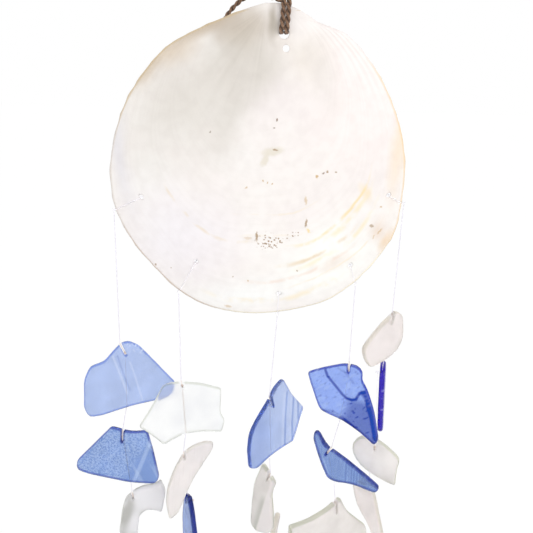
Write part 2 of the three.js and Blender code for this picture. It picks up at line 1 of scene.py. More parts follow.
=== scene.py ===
"""Glass wind chime: a pearl shell on a twisted cord, with strands of tumbled glass on thin nylon line.

Every object is in metres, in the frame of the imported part: +Z up, the viewer at -Y, the origin where the hook
bears. Lengths that are given in millimetres are turned into metres by MM.
"""

import math

import bmesh
import bpy
from mathutils import Matrix, Vector, noise


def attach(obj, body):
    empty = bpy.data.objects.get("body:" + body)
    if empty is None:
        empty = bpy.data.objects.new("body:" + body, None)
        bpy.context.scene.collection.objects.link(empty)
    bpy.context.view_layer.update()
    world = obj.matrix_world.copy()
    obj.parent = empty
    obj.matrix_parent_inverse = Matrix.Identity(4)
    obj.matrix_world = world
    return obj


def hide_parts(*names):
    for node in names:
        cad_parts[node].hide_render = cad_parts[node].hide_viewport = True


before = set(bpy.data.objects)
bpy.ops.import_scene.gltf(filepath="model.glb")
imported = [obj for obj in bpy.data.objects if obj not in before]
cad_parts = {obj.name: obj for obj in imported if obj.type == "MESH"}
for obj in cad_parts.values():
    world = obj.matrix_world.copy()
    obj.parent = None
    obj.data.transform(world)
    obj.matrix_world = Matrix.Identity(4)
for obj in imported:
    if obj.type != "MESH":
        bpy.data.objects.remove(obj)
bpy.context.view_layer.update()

scene = bpy.context.scene
MM = 0.001


# ## Camera, floor and light
# The chime hangs in a bright white room and is seen from a little above its middle. The floor is far below it,
# pale and plain, and the lamps are large and soft.

VIEW_TARGET = Vector((-0.0039, 0, -0.1771))
VIEW_DISTANCE = 0.306
VIEW_PITCH = math.radians(22)
VIEW_ROLL = math.radians(1.1)
PICTURE_WIDTH = 533
FOCAL_PIXELS = 605.9
SENSOR_WIDTH = 36
# How much the white walls light the chime. Rays that look at the walls see them fully white.
ROOM_LIGHT = 0.64
FLOOR_HEIGHT = -0.9
FLOOR_REACH = 6
# The floor glows for the rays that look at it, as strongly as the walls, and is plain paint for the others
FLOOR_GLOW = 1.02
FLOOR_GLOW_SHARE = 0.96
FLOOR_GREY = 0.9
WHITE = (1, 1, 1, 1)


def in_scene(name, data):
    """An object with this data, linked into the scene."""
    thing = bpy.data.objects.new(name, data)
    scene.collection.objects.link(thing)
    return thing


camera = in_scene("camera", bpy.data.cameras.new("camera"))
camera.data.sensor_width = SENSOR_WIDTH
camera.data.lens = SENSOR_WIDTH * FOCAL_PIXELS / PICTURE_WIDTH
camera.data.clip_start = 0.01
away = Vector((0, -math.cos(VIEW_PITCH), math.sin(VIEW_PITCH)))
camera.matrix_world = (
    Matrix.Translation(VIEW_TARGET + away * VIEW_DISTANCE)
    @ Matrix.Rotation(math.pi / 2 - VIEW_PITCH, 4, "X")
    @ Matrix.Rotation(VIEW_ROLL, 4, "Z")
)
scene.camera = camera
scene.view_settings.view_transform = "Standard"


def node_tree_of(owner):
    """An empty node tree of a material or of the world."""
    owner.use_nodes = True
    owner.node_tree.nodes.clear()
    return owner.node_tree


def add_node(tree, kind, sockets=None, **settings):
    """A node with its settings set by name. Its sockets, by name or number, are linked or given a plain value."""
    node = tree.nodes.new(kind)
    for key, value in settings.items():
        setattr(node, key, value)
    for key, value in (sockets or {}).items():
        if isinstance(value, bpy.types.NodeSocket):
            tree.links.new(value, node.inputs[key])
        else:
            node.inputs[key].default_value = value
    return node


def calculated(tree, operation, *values):
    """The result of a Math node on values or sockets."""
    return add_node(tree, "ShaderNodeMath", dict(enumerate(values)), operation=operation).outputs[0]


def mapped(tree, value, low, high, to_low=0, to_high=1, shape="LINEAR"):
    """A value stretched from one range onto another, and held within it."""
    return add_node(tree, "ShaderNodeMapRange", {
        "Value": value, "From Min": low, "From Max": high, "To Min": to_low, "To Max": to_high,
    }, interpolation_type=shape).outputs[0]


def seen_directly(tree):
    """1 for the rays that look straight at a surface or see it in gloss or through glass, otherwise 0."""
    rays = add_node(tree, "ShaderNodeLightPath").outputs
    seen = calculated(tree, "MAXIMUM", rays["Is Camera Ray"], rays["Is Glossy Ray"])
    return calculated(tree, "MAXIMUM", seen, rays["Is Transmission Ray"])


scene.world = bpy.data.worlds.new("white room")
tree = node_tree_of(scene.world)
strength = mapped(tree, seen_directly(tree), 0, 1, ROOM_LIGHT, 1)
white = add_node(tree, "ShaderNodeBackground", {"Color": WHITE, "Strength": strength})
add_node(tree, "ShaderNodeOutputWorld", {"Surface": white.outputs[0]})

floor_mesh = bpy.data.meshes.new("floor")
floor_mesh.from_pydata(
    [(x * FLOOR_REACH, y * FLOOR_REACH, FLOOR_HEIGHT) for x, y in ((-1, -1), (1, -1), (1, 1), (-1, 1))],
    [], [(0, 1, 2, 3)],
)
floor = in_scene("floor", floor_mesh)
floor_paint = bpy.data.materials.new("pale floor")
tree = node_tree_of(floor_paint)
paint = add_node(tree, "ShaderNodeBsdfDiffuse", {"Color": (FLOOR_GREY, FLOOR_GREY, FLOOR_GREY, 1)})
glow = add_node(tree, "ShaderNodeEmission", {"Color": WHITE, "Strength": FLOOR_GLOW})
share = calculated(tree, "MULTIPLY", seen_directly(tree), FLOOR_GLOW_SHARE)
blend = add_node(tree, "ShaderNodeMixShader", {0: share, 1: paint.outputs[0], 2: glow.outputs[0]})
add_node(tree, "ShaderNodeOutputMaterial", {"Surface": blend.outputs[0]})
floor_mesh.materials.append(floor_paint)


def soft_lamp(name, place, size, power):
    """A square lamp that faces the middle of the chime. Its size is in metres and its power in watts."""
    lamp = in_scene(name, bpy.data.lights.new(name, "AREA"))
    lamp.data.size = size
    lamp.data.energy = power
    facing = (VIEW_TARGET - Vector(place)).to_track_quat("-Z", "Y")
    lamp.matrix_world = Matrix.Translation(place) @ facing.to_matrix().to_4x4()


soft_lamp("window_light", (0.8, -0.9, 0.5), size=0.9, power=7.6)
soft_lamp("left_light", (-1.1, -0.7, 0.2), size=0.8, power=3)
soft_lamp("back_light", (0.4, 1.1, 1.1), size=0.8, power=6)
soft_lamp("low_light", (0.15, -0.8, -0.95), size=0.9, power=2.1)


# ## Hanging cord
# One brown cord of two twisted plies, doubled over: a loop for the hook, two legs side by side, a knot on the
# shell's rim and the doubled cord that goes down the front, through the hang hole and up the back.

CORD_DIAMETER = 2.1 * MM
CORD_TWIST = 6.4 * MM
# Distance between the rings of a ply's mesh
CORD_STEP = 0.35 * MM
# A ply's radius as a share of the cord's diameter, and the corners of its section
PLY_RADIUS = 0.31
PLY_SIDES = 12
# Fibres: how much they turn round a ply and how often they vary, for each metre along it
FIBRE_LAY = 420
FIBRE_WAVES = 160


def stored(tree, name, geometry, value):
    """The geometry with a value kept on its points under a name."""
    return add_node(
        tree, "GeometryNodeStoreNamedAttribute", {"Name": name, "Geometry": geometry, "Value": value},
        data_type="FLOAT", domain="POINT",
    ).outputs[0]


def twisted_cord_nodes():
    """Two plies twisted round the path of the mesh that carries the modifier, and the names of its settings."""
    tree = bpy.data.node_groups.new("twisted cord", "GeometryNodeTree")
    names = {}
    for name, kind, default in (
        ("Path", "Geometry", None), ("Diameter", "Float", CORD_DIAMETER), ("Twist length", "Float", CORD_TWIST),
        ("Step", "Float", CORD_STEP), ("Material", "Material", None),
    ):
        socket = tree.interface.new_socket(name=name, in_out="INPUT", socket_type=f"NodeSocket{kind}")
        if default is not None:
            socket.default_value = default
        names[name] = socket.identifier
    tree.interface.new_socket(name="Cord", in_out="OUTPUT", socket_type="NodeSocketGeometry")
    given = add_node(tree, "NodeGroupInput").outputs

    line = add_node(tree, "GeometryNodeMeshToCurve", {"Mesh": given["Path"]}).outputs[0]
    smooth = add_node(tree, "GeometryNodeCurveSplineType", {"Curve": line}, spline_type="BEZIER").outputs[0]
    auto = add_node(tree, "GeometryNodeCurveSetHandles", {"Curve": smooth}, handle_type="AUTO").outputs[0]
    fine = add_node(tree, "GeometryNodeResampleCurve", {"Curve": auto, "Length": given["Step"]}, mode="LENGTH")
    along = add_node(tree, "GeometryNodeSplineParameter").outputs["Length"]
    turns = calculated(tree, "DIVIDE", along, given["Twist length"])
    angle = calculated(tree, "MULTIPLY", turns, -2 * math.pi)
    tilted = add_node(tree, "GeometryNodeSetCurveTilt", {"Curve": fine.outputs[0], "Tilt": angle})
    route = stored(tree, "along", tilted.outputs[0], along)

    thick = calculated(tree, "MULTIPLY", given["Diameter"], PLY_RADIUS)
    ply = add_node(tree, "GeometryNodeCurvePrimitiveCircle", {"Resolution": PLY_SIDES, "Radius": thick})
    around = add_node(tree, "GeometryNodeSplineParameter").outputs["Factor"]
    marked = stored(tree, "around", ply.outputs["Curve"], around)
    depth = calculated(tree, "COSINE", calculated(tree, "MULTIPLY", around, 2 * math.pi))
    shaded = stored(tree, "depth", marked, depth)
    both = add_node(tree, "GeometryNodeJoinGeometry")
    for side in (1, -1):
        offset = calculated(tree, "MULTIPLY", given["Diameter"], side * (0.5 - PLY_RADIUS))
        shift = add_node(tree, "ShaderNodeCombineXYZ", {"X": offset})
        placed = add_node(tree, "GeometryNodeTransform", {
            "Geometry": shaded, "Rotation": (0, 0, math.pi if side == 1 else 0), "Translation": shift.outputs[0],
        })
        tree.links.new(placed.outputs[0], both.inputs[0])

    swept = add_node(tree, "GeometryNodeCurveToMesh", {
        "Curve": route, "Profile Curve": both.outputs[0], "Fill Caps": True,
    })
    soft = add_node(tree, "GeometryNodeSetShadeSmooth", {"Geometry": swept.outputs[0]})
    whole = add_node(tree, "GeometryNodeRealizeInstances", {0: soft.outputs[0]})
    dressed = add_node(tree, "GeometryNodeSetMaterial", {
        "Geometry": whole.outputs[0], "Material": given["Material"],
    })
    add_node(tree, "NodeGroupOutput", {0: dressed.outputs[0]})
    return tree, names


def attribute(tree, name):
    """A value that the mesh carries on its points."""
    return add_node(tree, "ShaderNodeAttribute", attribute_name=name).outputs["Fac"]


def object_place(tree):
    """The place on the object, in metres."""
    return add_node(tree, "ShaderNodeTexCoord").outputs["Object"]


def noise_at(tree, place, scale, detail=2, roughness=0.5, output="Fac"):
    """Soft noise at a place. Its scale is in waves for each unit of the place."""
    return add_node(tree, "ShaderNodeTexNoise", {
        "Vector": place, "Scale": scale, "Detail": detail, "Roughness": roughness,
    }).outputs[output]


def mixed(tree, share, first, second, mode="MIX"):
    """A mix of two colours or colour sockets."""
    return add_node(
        tree, "ShaderNodeMix", {0: share, 6: first, 7: second}, data_type="RGBA", blend_type=mode,
    ).outputs[2]


def ramp(tree, value, stops):
    """A colour ramp over stops of (place, colour)."""
    node = add_node(tree, "ShaderNodeValToRGB", {0: value})
    elements = node.color_ramp.elements
    while len(elements) < len(stops):
        elements.new(0.5)
    for element, (place, colour) in zip(elements, stops):
        element.position = place
        element.color = (*colour, 1)
    return node.outputs[0]


def product(tree, result, *others):
    """All the values multiplied."""
    for value in others:
        result = calculated(tree, "MULTIPLY", result, value)
    return result


def bumped(tree, height, distance, strength):
    """The normals of a surface that a height raises by up to a distance."""
    return add_node(tree, "ShaderNodeBump", {
        "Distance": distance, "Strength": strength, "Height": height,
    }).outputs[0]


def finish_material(tree, sockets, volume=None):
    """The material's one shader, with its sockets filled, and what fills the piece under its skin."""
    shader = add_node(tree, "ShaderNodeBsdfPrincipled", sockets)
    out = add_node(tree, "ShaderNodeOutputMaterial", {"Surface": shader.outputs[0]})
    if volume is not None:
        tree.links.new(volume, out.inputs["Volume"])


def cord_material():
    """Brown cotton-like yarn with fine fibres, and painted shade that darkens the valleys between the plies, so
    that their backs are paler.
    """
    material = bpy.data.materials.new("brown two-ply cord")
    tree = node_tree_of(material)
    along = attribute(tree, "along")
    lay = calculated(tree, "MULTIPLY_ADD", along, FIBRE_LAY, attribute(tree, "around"))
    yarn = add_node(tree, "ShaderNodeCombineXYZ", {"X": lay, "Y": product(tree, along, FIBRE_WAVES)})
    fibres = noise_at(tree, yarn.outputs[0], scale=9, detail=4)
    colour = ramp(tree, fibres, [
        (0.36, (0.08, 0.038, 0.019)), (0.5, (0.26, 0.14, 0.078)), (0.64, (0.58, 0.36, 0.22)),
    ])
    patches = product(tree, noise_at(tree, object_place(tree), scale=260), 0.5)
    colour = mixed(tree, patches, colour, (0.13, 0.065, 0.035, 1))
    # Painted shade: each ply darkens as it turns in towards the other ply
    outward = mapped(tree, attribute(tree, "depth"), 0.8, -1)
    painted_valley_shade = ramp(tree, outward, [(0.1, (0.06, 0.05, 0.045)), (0.45, (0.6, 0.57, 0.55)), (0.9, (1, 1, 1))])
    colour = mixed(tree, 1, colour, painted_valley_shade, "MULTIPLY")
    finish_material(tree, {
        "Base Color": colour, "Roughness": 0.85, "Sheen Weight": 0.3, "Sheen Roughness": 0.5,
        "Normal": bumped(tree, fibres, distance=0.25 * MM, strength=0.9),
    })
    return material


def made_plain(piece):
    """The piece becomes a plain mesh: its modifiers are used and removed."""
    bpy.context.view_layer.update()
    ready = piece.evaluated_get(bpy.context.evaluated_depsgraph_get())
    plain = bpy.data.meshes.new_from_object(ready)
    piece.modifiers.clear()
    piece.data = plain
    return plain


cord_tree, cord_settings = twisted_cord_nodes()
brown_cord = cord_material()


def twisted_cord(name, millimetres, body, *nodes, diameter=CORD_DIAMETER):
    """A length of the cord along a path in millimetres, on its body and in the place of its solids."""
    points = [Vector(point) * MM for point in millimetres]
    mesh = bpy.data.meshes.new(name)
    mesh.from_pydata(points, [(i, i + 1) for i in range(len(points) - 1)], [])
    piece = in_scene(name, mesh)
    twist = piece.modifiers.new("twist", "NODES")
    twist.node_group = cord_tree
    twist[cord_settings["Material"]] = brown_cord
    twist[cord_settings["Diameter"]] = diameter
    made_plain(piece)
    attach(piece, body)
    if nodes:
        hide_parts(*nodes)
    return piece


loop_path = [
    (-1.2, -1.4, -26), (-1.5, -1.4, -22), (-3.2, -1.1, -17), (-4.4, -0.7, -11.7), (-5.15, -0.2, -5.2),
    (-4.6, 0, -1.6), (-2.9, 0, 0.45), (0, 0, 1.05), (2.9, 0, 0.45), (4.6, 0, -1.6), (5.15, -0.2, -5.2),
    (4.4, -0.7, -11.7), (3.2, -1.1, -17), (1.5, -1.4, -22), (1.2, -1.4, -26),
]
loop = twisted_cord("cord_loop", loop_path, "loop", "hang_loop")
for side, name in ((-1, "left"), (1, "right")):
    leg_path = [(side * 1.2, -1.4, z) for z in (-26.4, -31, -36, -41, -46.4)]
    twisted_cord(f"cord_leg_{name}", leg_path, "legs", f"loop_leg_{name}")

# Knot, in mm: the doubled cord wraps round itself, and its short loose end lies behind the shell's left shoulder
KNOT_MIDDLE = Vector((-1, -1.4, -50.85))
KNOT_TURNS = 2.1
KNOT_START = 2.6
KNOT_TOP, KNOT_FOOT = 2.4, -1.9
KNOT_WIDE, KNOT_DEEP = 4.9, 3.1
KNOT_TAPER = 0.3
STEPS_A_TURN = 18

knot_wrap = [(-1.2, -1.4, -46.8), (-1.6, -1.6, -48)]
wrap_steps = int(STEPS_A_TURN * KNOT_TURNS)
for step in range(wrap_steps + 1):
    share = step / wrap_steps
    angle = KNOT_START + 2 * math.pi * KNOT_TURNS * share
    swell = 1 - KNOT_TAPER * (2 * share - 1) ** 2
    knot_wrap.append(KNOT_MIDDLE + Vector((
        KNOT_WIDE * swell * math.cos(angle), KNOT_DEEP * swell * math.sin(angle),
        KNOT_TOP + (KNOT_FOOT - KNOT_TOP) * share,
    )))
knot_wrap.append((1.3, -4.8, -53.7))
knot_core = [(1.2, -1.4, -46.8), (1.6, -2.6, -48.2), (-0.8, -2.2, -50.6), (-2.6, -0.6, -52.2), (0.6, 0.4, -54.2)]
knot_tail = [
    (-3, -0.4, -50.4), (-5.2, 1.3, -50.2), (-7.75, 2.5, -50.25), (-11, 3.3, -50.9), (-15.3, 3.8, -52.9),
    (-19.9, 4.4, -56.3), (-24.4, 4.9, -61.5),
]
knot = twisted_cord("cord_knot_wrap", knot_wrap, "knot", "rim_knot")
core = twisted_cord("cord_knot_core", knot_core, "knot")
tail = twisted_cord("cord_tail", knot_tail, "knot")

# Doubled cord round the shell's rim and through the hang hole, where its twist opens a little. Its profile is
# (back, up) in mm from where it crosses the rim, and its two strands lie side by side and lean a little.
BIGHT_DIAMETER = 2.3 * MM
BIGHT_ACROSS, BIGHT_UP = 2.4, -55.7
BIGHT_LEAN = 0.07
STRAND_OFFSET = 1.12
bight_profile = [
    (-3.4, 3.4), (-4.6, 1.4), (-4.8, -0.23), (-5.3, -3.48), (-5.75, -6.38), (-6, -8.8), (-5.31, -10.2),
    (-3.48, -10.85), (-1.64, -10.4), (-0.88, -9.05), (-0.4, -6.38), (0.14, -3.48), (0.8, -0.23), (0.7, 1.2),
    (-0.4, 3),
]
for side, name in ((-1, "left"), (1, "right")):
    bight_path = [
        (BIGHT_ACROSS + side * (STRAND_OFFSET - 0.04 * max(0, z)) + BIGHT_LEAN * z, y, BIGHT_UP + z)
        for y, z in bight_profile
    ]
    nodes = ["hole_bight"] if side == 1 else []
    twisted_cord(f"cord_bight_{name}", bight_path, "shell", *nodes, diameter=BIGHT_DIAMETER)


# ## Shell
# A large round window-pane shell, thin, a little domed towards the viewer and thicker at the hinge on top. Its
# pearly face has growth lines round the hinge, faint rays and small brown specks. Its holes are drilled.

# Lengths in mm. The shell's middle is placed from the hook, and what is on the shell from its middle.
SHELL_MIDDLE = Vector((-9.2, 0, -128.63))
SHELL_DOME = 9
SHELL_WARP = 2
SHELL_WALL = 1.8
SHELL_RIM_WALL = 1.1
SHELL_HINGE_WALL = 2.6
HINGE = Vector((3, 71))
HINGE_DIRECTION = math.radians(105)
HINGE_SPREAD = math.radians(38)
# Relief: fine ridges along the growth lines, which wander a little, gentle swells, and chips in the rim
RIDGE_HEIGHT = 0.05
RIDGE_TURN = 75
WANDER_TURN, WANDER_LENGTH = 4, 40
SWELL_HEIGHT, SWELL_LENGTH = 0.3, 28
CHIP_DEPTH, CHIP_LENGTH = 0.35, 4
SHELL_REACH = 70
# Mesh: rings of corners round the hinge, closer near the rim, and the share of the wall that is left on the rim
RINGS = 110
RING_SPACING = 0.85
RIM_THINNESS = 0.45
RIM_STEPS = 10
REACH_STEPS = 720
shell_outline = [
    (2.5, 73.5), (-15.5, 67.5), (-29.5, 61.5), (-41, 55), (-50, 46), (-59, 34), (-65.5, 20), (-70, 3),
    (-70.5, -10.5), (-68.5, -22.5), (-60.5, -38.5), (-49, -52.5), (-38.5, -62.5), (-26, -69.5),
    (-12, -73), (4, -73.5), (23, -70.5), (37.5, -65.5), (51, -55), (62, -41.5), (68.5, -29), (70.5, -13),
    (70, 6), (65.5, 23.5), (57.5, 40), (49, 51.5), (38.5, 61.5), (25.5, 66.5), (15, 72),
]
# The hang hole and the spare hole: their places and diameters
hang_holes = [(11, 61.63, 4.5), (12, 55.53, 3)]
# Each strand's hole: the bearing of its rim knot and its own bearing, in degrees about the shell's middle, and how
# far inside the rim it is drilled
strand_holes = [
    (196.4, 193, 15.4), (237.9, 236.3, 20), (278.8, 280.8, 11.2), (311.9, 315.8, 9.2), (348.5, 350.9, 7.8),
]
STRAND_HOLE = 2.4
HOLE_SIDES = 32
DRILL_LENGTH = 40


def smooth_loop(corners, per_side):
    """Points on a smooth closed curve through the corners."""
    points = []
    count = len(corners)
    for i in range(count):
        a, b, c, d = (Vector(corners[(i + k - 1) % count]) for k in range(4))
        for step in range(per_side):
            t = step / per_side
            points.append(0.5 * (
                2 * b + (c - a) * t + (2 * a - 5 * b + 4 * c - d) * t ** 2 + (3 * b - a - 3 * c + d) * t ** 3
            ))
    return points


rim_loop = smooth_loop(shell_outline, RIM_STEPS)


def rim_reach(angle):
    """Distance from the shell's middle to its rim in a direction."""
    turn = Vector((math.cos(angle), math.sin(angle)))
    for a, b in zip(rim_loop, rim_loop[1:] + rim_loop[:1]):
        edge = b - a
        across = turn.x * edge.y - turn.y * edge.x
        if abs(across) < 1e-9:
            continue
        share = (a.x * turn.y - a.y * turn.x) / across
        along = (a.x * edge.y - a.y * edge.x) / across
        if along > 0 and -1e-6 <= share <= 1 + 1e-6:
            return along


# The rim's reach all the way round, worked out once
reach_round = [rim_reach(2 * math.pi * i / REACH_STEPS) for i in range(REACH_STEPS)]


def middle_share(point):
    """How far out a point lies: 0 in the shell's middle, 1 on its rim."""
    place = (math.atan2(point.y, point.x) / (2 * math.pi)) % 1 * REACH_STEPS
    first = int(place) % REACH_STEPS
    second = (first + 1) % REACH_STEPS
    reach = reach_round[first] + (reach_round[second] - reach_round[first]) * (place - int(place))
    return min(1, point.length / reach)


def shell_height(point, share, side):
    """Height of the front (-1) or back (1) face over the shell's own plane."""
    angle = math.atan2(point.y, point.x)
    middle = -SHELL_DOME * (1 - share ** 2) + SHELL_WARP * share ** 2 * math.cos(2 * angle)
    wall = SHELL_WALL + (SHELL_RIM_WALL - SHELL_WALL) * share ** 2
    off = angle - HINGE_DIRECTION
    off = math.atan2(math.sin(off), math.cos(off)) / HINGE_SPREAD
    wall += (SHELL_HINGE_WALL - wall) * math.exp(-off ** 2) * share ** 4
    return middle + side * wall / 2


blank = bmesh.new()
growth_layer, bearing_layer, share_layer, front_layer = (
    blank.verts.layers.float.new(name) for name in ("growth", "bearing", "share", "front")
)


def shell_vertex(point, side, growth, thin=1):
    """A corner of the shell's front (-1) or back (1) face, with what its colours need: its growth, 0 at the hinge
    and 1 on the rim, and its bearing about the hinge in degrees, 0 to the right, 90 down and 180 to the left."""
    share = middle_share(point)
    front, back = shell_height(point, share, -1), shell_height(point, share, 1)
    wander = WANDER_TURN * noise.noise(Vector((point.x / WANDER_LENGTH, point.y / WANDER_LENGTH, 0)))
    ridge = RIDGE_HEIGHT * growth ** 2 * math.sin(RIDGE_TURN * growth + wander)
    swell = SWELL_HEIGHT * noise.noise(Vector((point.x / SWELL_LENGTH, point.y / SWELL_LENGTH, 5)))
    y = (front + back) / 2 + side * (back - front) / 2 * thin + (ridge + swell) * min(1, 3 * growth)
    vert = blank.verts.new((point.x, y, point.y))
    vert[growth_layer] = growth
    off = point - HINGE
    vert[bearing_layer] = -math.degrees(math.atan2(off.y, off.x)) % 360
    vert[share_layer] = share
    vert[front_layer] = 1 if side == -1 else 0
    return vert


around_rim = [(k, (k + 1) % len(rim_loop)) for k in range(len(rim_loop))]
rims = {}
for side in (-1, 1):
    hinge_vert = shell_vertex(HINGE + Vector((0, -0.01)), side, 0)
    rows = []
    for ring in range(1, RINGS + 1):
        growth = (ring / RINGS) ** RING_SPACING
        thin = RIM_THINNESS if ring == RINGS else 1
        row = []
        for rim in rim_loop:
            chips = noise.noise(Vector((rim.x / CHIP_LENGTH, rim.y / CHIP_LENGTH, 2.2))) * growth ** 30
            point = HINGE + (rim - HINGE) * growth
            row.append(shell_vertex(point * (1 + CHIP_DEPTH * chips / SHELL_REACH), side, growth, thin))
        rows.append(row)
    for k, after in around_rim:
        blank.faces.new([hinge_vert, rows[0][k], rows[0][after]])
        for inner, outer in zip(rows, rows[1:]):
            blank.faces.new([inner[k], outer[k], outer[after], inner[after]])
    rims[side] = rows[-1]
for k, after in around_rim:
    blank.faces.new([rims[-1][k], rims[1][k], rims[1][after], rims[-1][after]])
bmesh.ops.recalc_face_normals(blank, faces=blank.faces)


def object_of(name, shape):
    """An object in the scene, made from a shape under construction."""
    mesh = bpy.data.meshes.new(name)
    shape.to_mesh(mesh)
    shape.free()
    return in_scene(name, mesh)


pearl_shell = object_of("pearl_shell", blank)

drill_shape = bmesh.new()
holes = list(hang_holes)
for rim_bearing, bearing, inset in strand_holes:
    radius = rim_reach(math.radians(rim_bearing)) - inset
    bearing = math.radians(bearing)
    holes.append((radius * math.cos(bearing), radius * math.sin(bearing), STRAND_HOLE))
for x, z, diameter in holes:
    bmesh.ops.create_cone(
        drill_shape, cap_ends=True, segments=HOLE_SIDES, radius1=diameter / 2, radius2=diameter / 2,
        depth=DRILL_LENGTH, matrix=Matrix.Translation((x, 0, z)) @ Matrix.Rotation(math.pi / 2, 4, "X"),
    )
drills = object_of("drills", drill_shape)
cut = pearl_shell.modifiers.new("holes", "BOOLEAN")
cut.object = drills
cut.operation = "DIFFERENCE"
cut.solver = "EXACT"
drilled = made_plain(pearl_shell)
bpy.data.objects.remove(drills)
drilled.transform(Matrix.Translation(SHELL_MIDDLE * MM) @ Matrix.Scale(MM, 4))
drilled.shade_smooth()


def swirled(tree, place, amount, scale):
    """The place moved about by noise, so that what is drawn with it gets a ragged edge."""
    cloud = noise_at(tree, place, scale, detail=3, output="Color")
    centred = add_node(tree, "ShaderNodeVectorMath", {0: cloud, 1: (0.5, 0.5, 0.5)}, operation="SUBTRACT")
    return add_node(
        tree, "ShaderNodeVectorMath", {0: centred.outputs[0], 1: (amount, amount, amount), 2: place},
        operation="MULTIPLY_ADD",
    ).outputs[0]


def stain_or_light_spot(tree, base, place, spot, core=0.35):
    """A spot on the shell: its middle, half width and half height in mm, turn, colour and strength."""
    x, z, wide, high, turn, colour, strength = spot
    moved = add_node(tree, "ShaderNodeMapping", {
        "Vector": place, "Location": ((SHELL_MIDDLE.x + x) * MM, 0, (SHELL_MIDDLE.z + z) * MM),
        "Rotation": (0, math.radians(-turn), 0), "Scale": (wide * MM, 1, high * MM),
    }, vector_type="TEXTURE")
    far = add_node(tree, "ShaderNodeVectorMath", {0: moved.outputs[0]}, operation="LENGTH").outputs["Value"]
    fade = mapped(tree, far, core, 1, strength, 0, "SMOOTHSTEP")
    return mixed(tree, fade, base, (*colour, 1))


def window(tree, value, low, high, soft):
    """1 where a value lies between low and high, fading out over soft on either side."""
    rise = mapped(tree, value, low - soft, low + soft, shape="SMOOTHSTEP")
    fall = mapped(tree, value, high + soft, high - soft, shape="SMOOTHSTEP")
    return product(tree, rise, fall)


# No value is past this, so a window up to it has no upper end
FAR = 2
# Rays: how many there are to a degree round the hinge, how much they change on their way out, and their depth
RAY_DENSITY = 0.16
RAY_CHANGE = 2.2
RAY_DEPTH = 0.45
# Growth lines: how far noise bends the plain and the stained ones, as a share of the way out, and their depth
LINE_BEND = 0.05
STREAK_BEND = 0.07
LINE_DEPTH = 0.17
MOTTLING_DEPTH = 0.35

TAN = (0.42, 0.29, 0.17)
BROWN = (0.22, 0.12, 0.06)
OCHRE = (0.62, 0.41, 0.17)
YELLOW = (0.93, 0.74, 0.38)
BEIGE = (0.8, 0.74, 0.63)
# Clouds, later ones over earlier ones: the nacre's own tints, painted shade on the upper left and upper right, and
# painted light low down, where the dome turns down. Each: middle, half width, half height, turn, colour and
# strength
clouds_and_painted_light = [
    (-32, 36, 62, 38, 42, (0.76, 0.72, 0.66), 0.85), (-6, 50, 24, 26, 62, (0.62, 0.57, 0.5), 0.55),
    (-10, 66, 30, 13, -22, (0.55, 0.46, 0.37), 0.8), (20, 51, 18, 18, 0, (0.84, 0.77, 0.69), 0.7),
    (46, 52, 34, 26, 0, (0.93, 0.83, 0.8), 0.75), (48, 28, 40, 46, 0, (0.97, 0.885, 0.86), 0.85),
    (-10, 30, 14, 36, -24, (0.72, 0.68, 0.62), 0.6), (-46, 50, 11, 34, -52, (0.7, 0.57, 0.42), 0.75),
    (27, 46, 13, 28, 32, (0.8, 0.76, 0.71), 0.5), (-66, 8, 10, 46, 4, (0.76, 0.75, 0.82), 0.5),
    (-38, -32, 46, 40, 0, (0.96, 0.92, 0.95), 0.9), (68, 14, 8, 44, -5, (0.95, 0.74, 0.5), 0.55),
    (35, -42, 50, 28, 25, (1, 1, 0.96), 0.95), (-4, -62, 46, 16, 0, (1, 1, 0.98), 0.95),
    (59, -27, 8, 11, 20, (0.8, 0.58, 0.42), 0.45), (64, -35, 5, 12, -25, (0.9, 0.66, 0.42), 0.7),
    (38, -44, 15, 5, 25, (0.82, 0.64, 0.52), 0.4), (50.4, -9, 4, 7, 35, (0.93, 0.76, 0.5), 0.6),
    (6.5, 63, 3.2, 12, -10, (0.42, 0.37, 0.3), 0.8), (-8, 60, 15, 14, 20, (0.62, 0.57, 0.49), 0.5),
]
# Painted shade along the rolled edge of the left shoulder, as the clouds are given
shoulder_shades = [
    (-25, 62.5, 24, 4.5, 25, (0.56, 0.45, 0.33), 0.75), (-50, 45.5, 22, 4, 47, (0.62, 0.51, 0.38), 0.65),
]
# Growth lines: how far out, width, first and last bearing about the hinge, colour and strength
growth_streaks = [
    (0.722, 0.01, 92, 122, (0.84, 0.7, 0.5), 0.55), (0.745, 0.012, 56, 81, YELLOW, 0.8),
    (0.772, 0.02, 58, 76, (0.95, 0.82, 0.54), 0.7), (0.812, 0.013, 67, 84, (0.76, 0.56, 0.3), 0.65),
    (0.835, 0.018, 58, 80, (0.94, 0.8, 0.5), 0.6), (0.865, 0.012, 68, 92, (0.84, 0.64, 0.52), 0.45),
    (0.62, 0.006, 74, 96, (0.92, 0.82, 0.68), 0.55), (0.945, 0.02, 72, 100, (0.94, 0.8, 0.52), 0.5),
    (0.7, 0.008, 80, 96, (0.92, 0.83, 0.7), 0.45), (0.9, 0.007, 60, 82, (0.92, 0.77, 0.56), 0.45),
]
